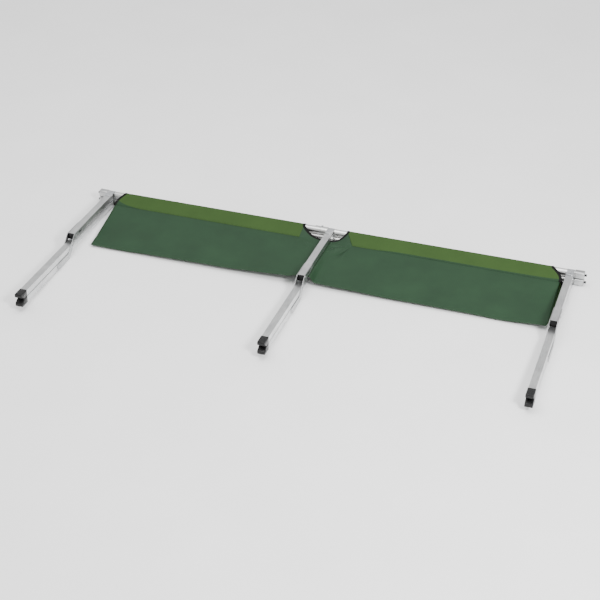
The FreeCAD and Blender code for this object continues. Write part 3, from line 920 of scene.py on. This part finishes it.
RIGHT_CUT = HalfCut(
    ring_start=67.0,
    ring_end=829.0,
    flap_start=100.0,
    corner_end=866.5,
    fold_end=866.0,
    end_power=4.0,
    scoop_power=2.6,
    pinch_reach=36.0,
    sag=15.0,
    sag_reach=400.0,
    rays=6.0,
    slant=0.15,
    end_rise=9.0,
    # painted shade: the sleeve's flap turns coated green for up to 10 mm next to its seam, away from the leg
    painted_shade_band=10.0,
    outer_end_darkening=6.0,
)
LEFT_CUT = HalfCut(
    ring_start=105.0,
    ring_end=835.0,
    flap_start=106.0,
    corner_end=856.0,
    fold_end=841.0,
    end_power=1.0,
    scoop_power=3.0,
    pinch_reach=62.0,
    sag=30.0,
    sag_reach=350.0,
    rays=1.0,
    slant=0.04,
    end_rise=0.0,
    painted_shade_band=0.0,
    outer_end_darkening=30.0,
)
CUTS = {
    (Level.UPPER, Half.RIGHT): RIGHT_CUT,
    (Level.LOWER, Half.RIGHT): replace(RIGHT_CUT, corner_end=876.0, end_power=6.0),
    (Level.UPPER, Half.LEFT): LEFT_CUT,
    (Level.LOWER, Half.LEFT): LEFT_CUT,
}


@dataclass
class ClothQuarter:
    """One layer of one half of the doubled bed cloth, with its sleeve round its rail.

    In the plane through the rail's axis and the fold, t runs from the rail to the fold and d stands outwards.
    """

    bench: Bench
    finishes: Finishes
    level: Level
    half: Half
    rail_height: float
    other_height: float
    fold_y: float = -311.5
    fold_z: float = -24.0
    thickness: float = 0.8
    ring_radius: float = 13.1
    seam: float = 61.0
    corner: float = 52.0
    scoop: float = 50.0
    ring_front: float = 6.0
    arm_half: float = 15.0
    pinch_heights: tuple[float, float, float] = (13.1, 14.5, 13.8)
    tape_half: float = 5.2
    tape_rise: float = 1.5
    seam_rows: tuple[float, float] = (2.5, 6.5)
    hem: float = 9.0
    thread: float = 0.7
    pinch_fade: float = 75.0
    stiff_end: float = 170.0
    near_leg: float = 230.0
    ray_turns: float = 10.0
    ray_reach: float = 62.0
    ray_spread: float = 34.0
    ray_fade: float = 22.0
    bend_back: float = 62.0
    bend_slant: float = 0.24
    bend_round: float = 9.0

    @property
    def cut(self) -> HalfCut:
        """The half's cut."""
        return CUTS[self.level, self.half]

    @property
    def title(self) -> str:
        """The CAD node's name."""
        return f"{self.level.value}_cloth_{self.half.value}"

    @property
    def rail_tube(self) -> str:
        """The CAD node of the tube that the sleeve runs round."""
        return f"{self.level.value}_rail_{self.half.value}_tube"

    @property
    def slope(self) -> float:
        """How far the layer's plane falls towards the fold, in radians."""
        return math.atan2(self.rail_height - self.fold_z, -self.fold_y)

    @property
    def lean(self) -> float:
        """How far the fold moves out for each millimetre that it rises, so that both layers keep their length."""
        other = math.atan2(self.other_height - self.fold_z, -self.fold_y)
        return (math.sin(self.slope) + math.sin(other)) / (math.cos(self.slope) + math.cos(other))

    def lay(self, x: Array, t: Array, d: Array) -> Array:
        """Level points from distance along the rail, distance from the rail's axis and height off the plane."""
        up = d * self.level.outward
        y = -t * math.cos(self.slope) - up * math.sin(self.slope)
        z = self.rail_height - t * math.sin(self.slope) + up * math.cos(self.slope)
        return np.stack(np.broadcast_arrays(x * self.half.sign, y, z), -1)

    def out_end(self, t: Array) -> Array:
        """The outer end at each t: a quarter sine from the ring to the corner, then a power of t to the fold."""
        cut = self.cut
        turned = np.sin(np.clip(t / self.corner, 0, 1) * math.pi / 2)
        share = np.clip((t - self.corner) / (-self.fold_y - self.corner), 0, 1)
        corner_part = cut.ring_end + (cut.corner_end - cut.ring_end) * turned
        return corner_part + (cut.fold_end - cut.corner_end) * share**cut.end_power

    def flap_edge(self, t: Array) -> Array:
        """The sleeve's end at the middle leg, slanting away from the leg towards the seam."""
        share = np.clip((t - self.ring_front) / (self.seam - self.ring_front), 0, 1)
        return self.cut.ring_start + (self.cut.flap_start - self.cut.ring_start) * share

    def scoop_edge(self, x: Array) -> Array:
        """The cut-out's t at each x: deepest at the leg, rising as a power of x to the rail."""
        share = np.clip(x / self.cut.ring_start, 0, 1) ** self.cut.scoop_power
        return self.scoop + (self.ring_front - self.scoop) * share

    def start_edge(self, x: Array) -> Array:
        """Where the panel starts: the cut-out, then up the sleeve's end, then the seam."""
        cut = self.cut
        share = (x - cut.ring_start) / (cut.flap_start - cut.ring_start)
        up_flap = self.ring_front + (self.seam - self.ring_front) * share
        return np.where(x < cut.ring_start, self.scoop_edge(x), np.clip(up_flap, self.ring_front, self.seam))

    def pinch(self, x: Array, t: Array) -> Array:
        """How firmly the arms hold the cloth: 1 between them, 0 past a reach that shrinks beyond the seam."""
        cut = self.cut
        far = cut.flap_start + (cut.pinch_reach - cut.flap_start) * smooth((t - self.seam) / self.pinch_fade)
        reach = np.where(t < self.seam, self.flap_edge(t), far)
        return 1.0 - smooth((x - self.arm_half) / (reach - self.arm_half))

    def fold_line(self, x: Array) -> tuple[Array, Array]:
        """The fold's y and z at each x, for both layers: up between the arms, else low with a slow wave."""
        held = self.pinch(x, np.full_like(x, 400.0))
        wave = 1.2 * np.sin(x / 71.0 + 0.6) + 0.5 * np.sin(x / 33.0 + 1.9)
        free = self.fold_z + self.sagging(x) + wave * smooth(x / 250.0)
        z = free + held * (self.pinch_heights[2] - free)
        return self.fold_y - self.lean * (z - self.fold_z), z

    def sagging(self, x: Array) -> Array:
        """How far the free fold hangs above its lowest line, held up by the leg and the stiff outer end."""
        end = smooth((x - self.cut.fold_end) / self.stiff_end + 1.0)
        return self.cut.sag * np.exp(-x / self.cut.sag_reach) + self.cut.end_rise * end

    def fold_place(self, x: Array) -> tuple[Array, Array]:
        """The fold's t and d in this layer's plane."""
        y, z = self.fold_line(x)
        rise = z - self.rail_height
        t = -y * math.cos(self.slope) - rise * math.sin(self.slope)
        d = self.level.outward * (rise * math.cos(self.slope) - y * math.sin(self.slope))
        return t, d

    def lift(self, x: Array, t: Array) -> Array:
        """How far the cloth stands off its plane at x and t, before the fold is met exactly."""
        outward = self.level.outward
        low, high, shared = self.pinch_heights
        own = high if self.level is Level.UPPER else low
        end_t, _ = self.fold_place(x)
        held_z = own + (shared - own) * smooth((t - end_t + 30.0) / 30.0)
        plane_z = self.rail_height - t * math.sin(self.slope)
        held = outward * (held_z - plane_z) / math.cos(self.slope)
        share = np.clip((t - self.seam) / (end_t - self.seam), 0, 1)
        flap = self.ring_radius * np.clip(self.seam - t, 0, None) / (self.seam - 2.4)
        free = flap + 4.0 * share * (1 - share) * self.billow(x, share) + outward * share * self.sagging(x)
        firm = self.pinch(x, t)
        return firm * held + (1 - firm) * free + outward * self.creases(x, t, share)

    def billow(self, x: Array, share: Array) -> Array:
        """Slow waves of the free cloth, outwards."""
        phase = 0.7 if self.level is Level.UPPER else 2.1
        return 1.3 * np.sin(x / 97.0 + phase) + 0.8 * np.sin(x / 47.0 + 3.1 * share + phase)

    def creases(self, x: Array, t: Array, share: Array) -> Array:
        """Creases that both layers share, as a rise in z: rays from the sleeve's corner, and an outer bend."""
        aside, down = self.cut.flap_start + 6.0 - x, t - self.seam + 8.0
        reach = np.hypot(aside, down)
        angle = np.arctan2(down, np.maximum(aside, 1e-6))
        strength = self.cut.rays * np.exp(-(((reach - self.ray_reach) / self.ray_spread) ** 2))
        rays = strength * np.sin(self.ray_turns * angle + 0.6) * smooth(aside / self.ray_fade)
        rays = rays * smooth((x - self.arm_half) / 12.0) * smooth((t - self.seam) / self.ray_fade)
        bend = x - (self.cut.fold_end - self.bend_back - self.bend_slant * (t - 100.0))
        past = 0.5 * (bend + np.hypot(bend, self.bend_round))
        return (rays - self.cut.slant * past * smooth(share * 4.0)) * (1 - smooth((share - 0.7) / 0.3))

    def surface(self, x: Array, t: Array, proud: float = 0.0) -> Array:
        """Level points of the panel at x and t, meeting the fold line exactly at its own t."""
        end_t, end_d = self.fold_place(x)
        share = np.clip((t - self.seam) / (end_t - self.seam), 0, 1)
        off = self.lift(x, t) + (end_d - self.lift(x, end_t)) * smooth((share - 0.5) / 0.5)
        return self.lay(x, t, off + proud)

    # ------------------------------------------------------------ pieces
    def sheet_object(
        self,
        name: str,
        points: Array,
        plan: Array,
        flap: Array | None,
        materials: list[bpy.types.Material],
    ) -> bpy.types.Object:
        """A sheet from a grid of points, with its flat plan as a UV map and its flap edge as an attribute.

        Args:
            name: the object's name.
            points: (rows, columns, 3) level points.
            plan: (rows, columns, 2) the same points on the flat cloth, in metres.
            flap: (rows, columns) distance inside the flap's colour line in millimetres, which also carries the
                painted shade band along the seam and the darkening near the outer end, or None.
            materials: outer face, inner face and rim.

        Returns:
            The sheet, thickened by a modifier, outer face first.
        """
        rows, columns = points.shape[:2]
        shell = Shell(points.reshape(-1, 3), grid_faces(rows, columns))
        a, b, c = (shell.points[shell.faces[len(shell.faces) // 2][k]] for k in (0, 1, 2))
        middle = points[rows // 2, columns // 2]
        outward = np.cross(b - a, c - a)
        away = self.outer_way(middle)
        if float(outward @ away) < 0:
            shell.faces = [face[::-1] for face in shell.faces]
        made = build(self.bench, name, [shell], materials, sharp=60.0)
        mesh = made.data
        layer = mesh.uv_layers.new(name="cloth")
        corner = np.zeros(len(mesh.loops), np.int32)
        mesh.loops.foreach_get("vertex_index", corner)
        layer.data.foreach_set("uv", plan.reshape(-1, 2)[corner].ravel().astype(np.float32))
        if flap is not None:
            kept = mesh.attributes.new("flap", "FLOAT", "POINT")
            kept.data.foreach_set("value", flap.ravel().astype(np.float32))
        thick = made.modifiers.new("cloth_thickness", "SOLIDIFY")
        thick.thickness, thick.offset = self.thickness * MM, 0.0
        thick.material_offset, thick.material_offset_rim = 1, 1
        return made

    def outer_way(self, middle: Array) -> Array:
        """The way that the outer face looks at a point: away from the rail behind it, else up or down."""
        if middle[1] > 0:
            return middle - np.array([middle[0], 0.0, self.rail_height])
        return np.array([0.0, 0.0, self.level.outward])

    def columns(self) -> Array:
        """Places along the rail for the panel's grid, close together near the middle leg."""
        cut = self.cut
        near = np.linspace(0, cut.ring_start, 30)
        edge = np.linspace(cut.ring_start, cut.flap_start, 16)[1:]
        spread = np.linspace(cut.flap_start, self.near_leg, 34)[1:]
        rest = np.linspace(self.near_leg, cut.fold_end, 110)[1:]
        return np.concatenate([near, edge, spread, rest])

    def panel(self) -> bpy.types.Object:
        """The flat layer from the seam to the fold, with the cut-out at the middle leg."""
        x = self.columns()[None, :]
        share = np.linspace(0, 1, 64)[:, None]
        start = self.start_edge(x)
        end, _ = self.fold_place(x)
        t = start + (end - start) * share
        reach = self.out_end(t) / self.cut.fold_end
        x = x * (1 + (reach - 1) * (x / self.cut.fold_end) ** 6)
        points = self.surface(x, t)
        plan = np.stack([x, t], -1) * MM
        materials = [self.finishes.coated, self.finishes.lying]
        made = self.sheet_object(f"{self.title}_panel", points, plan, None, materials)
        settle(made, f"{self.title}_half", "bed_cloth", self.title)
        self.flatten(made)
        return made

    def flatten(self, piece: bpy.types.Object) -> None:
        """Give a piece its own copy of its mesh; the layer's plane is worked out but not used."""
        normal = self.bench.direction((0.0, -math.sin(self.slope), math.cos(self.slope)))
        anchor = self.bench.place((0.0, 0.0, self.rail_height))
        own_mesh(piece)

    def loop(self, share: Array) -> tuple[Array, Array, Array]:
        """The sleeve's section: straight from the seam to the ring, round the rail's back, straight to the seam.

        Args:
            share: 0 at the outer seam to 1 at the inner one.

        Returns:
            t, d and the length run so far, each the shape of share.
        """
        touch = math.acos(self.ring_radius / self.seam)
        run = math.sqrt(self.seam**2 - self.ring_radius**2)
        arc = 2 * (math.pi - touch) * self.ring_radius
        gone = share * (2 * run + arc)
        turn = touch + np.clip(gone - run, 0, arc) / self.ring_radius
        along = np.clip(1 - gone / run, 0, 1) + np.clip((gone - run - arc) / run, 0, 1)
        t = self.ring_radius * np.cos(turn) + along * (self.seam - self.ring_radius * math.cos(touch))
        d = self.ring_radius * np.sin(turn) * (1 - along)
        return t, d, gone

    def sleeve_points(self, x: Array, share: Array, proud: float = 0.0) -> Array:
        """Level points of the sleeve, a little slack between rail and seam."""
        t, d, _ = self.loop(share)
        slack = 0.7 * np.sin(x / 53.0) * np.sin(np.clip(t / self.seam, 0, 1) * math.pi)
        side = np.where(share < 0.5, 1.0, -1.0)
        return self.lay(x, t, d + slack + side * proud)

    def sleeve(self) -> bpy.types.Object:
        """The sewn sleeve: its section carried along the rail between its two cut ends."""
        flap, ring = np.linspace(0, 0.36, 26), np.linspace(0.36, 0.64, 40)
        share = np.concatenate([flap, ring[1:], np.linspace(0.64, 1, 26)[1:]])[:, None]
        t, _, gone = self.loop(share)
        t = np.maximum(t, 0.0)
        along = smooth(np.linspace(0, 1, 150)) * 0.35 + np.linspace(0, 1, 150) * 0.65
        start, end = self.flap_edge(t), self.out_end(t)
        x = start + (end - start) * along[None, :]
        points = self.sleeve_points(x, np.broadcast_to(share, x.shape))
        plan = np.stack([x, np.broadcast_to(gone, x.shape)], -1) * MM
        # near the outer end the flap's colour line is drawn in towards the rail: a colour change only, with no
        # cut in the geometry
        back = self.cut.outer_end_darkening * np.exp(-np.clip(x.max() - x, 0, None) / 48.0)
        # away from the leg the colour line moves towards the rail, painting shade in coated green along the seam
        line = self.seam + 3.0 - back - self.cut.painted_shade_band * smooth((x - 130.0) / 150.0)
        flap = np.where(share < 0.5, line - np.broadcast_to(t, x.shape), 10.0)
        materials = [self.finishes.lying, self.finishes.lying]
        made = self.sheet_object(f"{self.title}_sleeve", points, plan, flap, materials)
        settle(made, f"{self.title}_half", "bed_cloth", self.title)
        return made

    def bind(self, name: str, path: Array, across: Array) -> bpy.types.Object:
        """Binding tape along an edge, its width in the cloth and its height off it."""
        step = np.gradient(path, axis=0)
        step /= np.linalg.norm(step, axis=1, keepdims=True)
        across = across - (across * step).sum(1, keepdims=True) * step
        across /= np.linalg.norm(across, axis=1, keepdims=True)
        normal = np.cross(step, across)
        shell = carried(path, across, normal, self.tape_half, self.tape_rise)
        made = build(self.bench, name, [shell], [self.finishes.tape], sharp=70.0)
        return settle(made, f"{self.title}_half", "bed_cloth")

    def bindings(self) -> None:
        """Black tape round the sleeve's two ends and along the cut-out."""
        along = np.array([[self.half.sign, 0.0, 0.0]])
        share = np.linspace(0.0, 1.0, 90)
        t = np.maximum(self.loop(share)[0], 0.0)
        ring = share[t <= self.ring_front + 0.5]
        inner = np.full(len(ring), self.cut.ring_start)
        for word, where, x in (("outer", share, self.out_end(t)), ("inner", ring, inner)):
            path = self.sleeve_points(x, where)
            self.bind(f"{self.title}_{word}_binding", path, np.broadcast_to(along, path.shape))
        x = np.linspace(self.cut.ring_start, 0.0, 60)
        path = self.surface(x, self.scoop_edge(x))
        inwards = self.surface(x, self.scoop_edge(x) + 4.0) - path
        self.flatten(self.bind(f"{self.title}_scoop_binding", path, inwards))

    def stitches(self, name: str, path: Array, normal: Array, pitch: float = 6.5) -> bpy.types.Object:
        """Stitches along a path: eight-sided lenses, two thirds of the pitch long.

        Args:
            name: the object's name.
            path: (n, 3) points close together along the row of stitches.
            normal: (3,) direction off the cloth.
            pitch: from one stitch to the next.

        Returns:
            The object, riding on the cloth.
        """
        run = np.concatenate([[0.0], np.cumsum(np.linalg.norm(np.diff(path, axis=0), axis=1))])
        middles = np.arange(pitch / 2, run[-1], pitch)
        places = (middles - pitch / 3, middles + pitch / 3)
        start, end = (np.stack([np.interp(at, run, path[:, k]) for k in range(3)], -1) for at in places)
        centre, way = (start + end) / 2, (end - start) / 2
        side = np.cross(normal, way)
        side /= np.linalg.norm(side, axis=1, keepdims=True)
        side, up = side * self.thread, np.broadcast_to(normal, side.shape) * self.thread
        lens = [centre - way, centre + way, centre + side, centre + up, centre - side, centre - up]
        points = np.stack(lens, 1).reshape(-1, 3)
        base = np.arange(len(middles))[:, None, None] * 6
        pattern = [[0, 2, 3], [0, 3, 4], [0, 4, 5], [0, 5, 2], [1, 3, 2], [1, 4, 3], [1, 5, 4], [1, 2, 5]]
        faces = (base + np.array(pattern)).reshape(-1, 3).tolist()
        made = build(self.bench, name, [Shell(points, faces).outward()], [self.finishes.thread], sharp=80.0)
        return settle(made, f"{self.title}_half", "bed_cloth")

    def sewing(self) -> None:
        """Two rows along the seam on the sleeve, and one row along the panel's outer hem."""
        up = np.array([0.0, -math.sin(self.slope), math.cos(self.slope)]) * self.level.outward
        proud = self.thickness / 2 + 0.2
        length = float(self.loop(np.array(1.0))[2])
        for number, back in enumerate(self.seam_rows, start=1):
            row = np.array(self.seam - back)
            x = np.linspace(float(self.flap_edge(row)) + 4, float(self.out_end(row)) - 4, 200)
            path = self.sleeve_points(x, np.full(200, back / length), proud)
            self.stitches(f"{self.title}_seam_stitches_{number}", path, up)
        t = np.linspace(self.seam + 4, -self.fold_y - 4, 120)
        x = self.out_end(t) - self.hem
        path = self.surface(x, t, proud)
        self.flatten(self.stitches(f"{self.title}_hem_stitches", path, up))

    def make(self) -> None:
        """All pieces of this quarter."""
        self.panel()
        self.sleeve()
        self.bindings()
        self.sewing()


# ---------------------------------------------------------------- studio
@dataclass(frozen=True)
class Studio:
    """A pale floor, soft lights and the camera.

    Attributes:
        bench: the level frame, which the camera's angles are given in.
        azimuth, elevation, roll: the camera's angles, in degrees.
        distance: from the camera to the level frame's origin, along the view.
        aside, above: how far the camera stands off that line, in millimetres.
        lens: its focal length on a sensor 36 mm wide.
    """

    bench: Bench
    azimuth: float = 18.19
    elevation: float = 31.64
    roll: float = 0.76
    distance: float = 5328.0
    aside: float = -116.2
    above: float = -230.4
    lens: float = 85.5

    def camera(self) -> None:
        """Place the camera."""
        a, e, r = (math.radians(v) for v in (self.azimuth, self.elevation, self.roll))
        back = np.array([math.sin(a) * math.cos(e), -math.cos(a) * math.cos(e), math.sin(e)])
        level_right = np.array([math.cos(a), math.sin(a), 0.0])
        right = math.cos(r) * level_right + math.sin(r) * np.cross(back, level_right)
        up = np.cross(back, right)
        spot = self.bench.place(back * self.distance + right * self.aside + up * self.above)
        turn = np.stack([self.bench.direction(v) for v in (right, up, back)], 1)
        matrix = np.eye(4)
        matrix[:3, :3], matrix[:3, 3] = turn, spot
        data = bpy.data.cameras.new("camera")
        data.sensor_width, data.lens = 36.0, self.lens
        made = bpy.data.objects.new("camera", data)
        bpy.context.scene.collection.objects.link(made)
        made.matrix_world = Matrix(matrix.tolist())
        bpy.context.scene.camera = made

    def floor(self) -> None:
        """A wide matt floor at the height of zero."""
        grid = np.linspace(-14.0, 14.0, 9)
        x, y = np.meshgrid(grid, grid)
        points = np.stack([x, y, np.full_like(x, -0.0005)], -1).reshape(-1, 3)
        mesh = bpy.data.meshes.new("floor")
        mesh.from_pydata(points.tolist(), [], grid_faces(9, 9))
        material, tree, shader = fresh("pale_matt_floor")
        where = add(tree, "ShaderNodeTexCoord").outputs["Object"]
        grain = add(tree, "ShaderNodeTexNoise", {"Vector": where, "Scale": 3.0, "Detail": 2.0}).outputs[0]
        tone = ramp(tree, grain, [(0.3, "#F6F6F6"), (0.7, "#FAFAFA")])
        tree.links.new(tone.outputs[0], shader.inputs["Base Color"])
        shader.inputs["Roughness"].default_value = 0.9
        mesh.materials.append(material)
        made = bpy.data.objects.new("floor", mesh)
        bpy.context.scene.collection.objects.link(made)

    def lamp(self, name: str, spot: tuple[float, float, float], size: float, watts: float) -> None:
        """A square soft light aimed at the middle of the cot."""
        data = bpy.data.lights.new(name, "AREA")
        data.size, data.energy = size, watts
        made = bpy.data.objects.new(name, data)
        made.location = spot
        made.rotation_euler = (-Vector(spot)).to_track_quat("-Z", "Y").to_euler()
        bpy.context.scene.collection.objects.link(made)

    def lights(self) -> None:
        """A bright sky that darkens towards the horizon, and two soft boxes."""
        world = bpy.data.worlds.new("studio")
        world.use_nodes = True
        tree = world.node_tree
        tree.nodes.clear()
        where = add(tree, "ShaderNodeTexCoord").outputs["Generated"]
        height = add(tree, "ShaderNodeSeparateXYZ", {0: where}).outputs["Z"]
        share = add(tree, "ShaderNodeMapRange", {"Value": height, "From Min": -0.2, "From Max": 1.0}).outputs[0]
        sky = ramp(tree, share, [(0.0, "#8A8A8A"), (0.5, "#E2E2E2"), (1.0, "#FFFFFF")]).outputs[0]
        glow = add(tree, "ShaderNodeBackground", {"Color": sky, "Strength": 1.3})
        add(tree, "ShaderNodeOutputWorld", {"Surface": glow.outputs[0]})
        bpy.context.scene.world = world
        self.lamp("top_softbox", (-0.3, -0.2, 4.2), 3.2, 130.0)
        self.lamp("key_softbox", (2.9, -2.2, 3.1), 0.9, 230.0)

    def make(self) -> None:
        """Camera, floor and lights."""
        self.camera()
        self.floor()
        self.lights()


def main() -> None:
    """Load the frame, set the studio, then dress and build the rails, the legs and the cloth."""
    logging.basicConfig(level=logging.INFO, format="%(name)s: %(message)s")
    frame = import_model()
    joints = {joint["name"]: joint for joint in frame["joints"]}
    nodes = frame["nodes"]
    bench = Bench.from_joints(joints)
    pitch = float(bench.level(np.array(joints["upper_rail_turn"]["pos_m"]))[2])
    cross = -float(bench.level(np.array(joints["middle_leg_cross"]["pos_m"]))[1])
    opening = math.radians(-joints["scissor"]["range_deg"][0])
    spacing = float(bench.level(np.array(joints["right_lower_bracket_turn"]["pos_m"]))[0])

    Studio(bench).make()
    finishes = Finishes()
    SideRails(bench, nodes, finishes).make()
    for name, x in (("left", -spacing), ("middle", 0.0), ("right", spacing)):
        LegPair(bench, nodes, finishes, name, np.array([x, 0.0, 0.0]), pitch, opening, cross).make()
    for level in Level:
        height, other = (0.0, pitch) if level is Level.LOWER else (pitch, 0.0)
        for half in Half:
            ClothQuarter(bench, finishes, level, half, height, other).make()


if __name__ == "__main__":
    main()
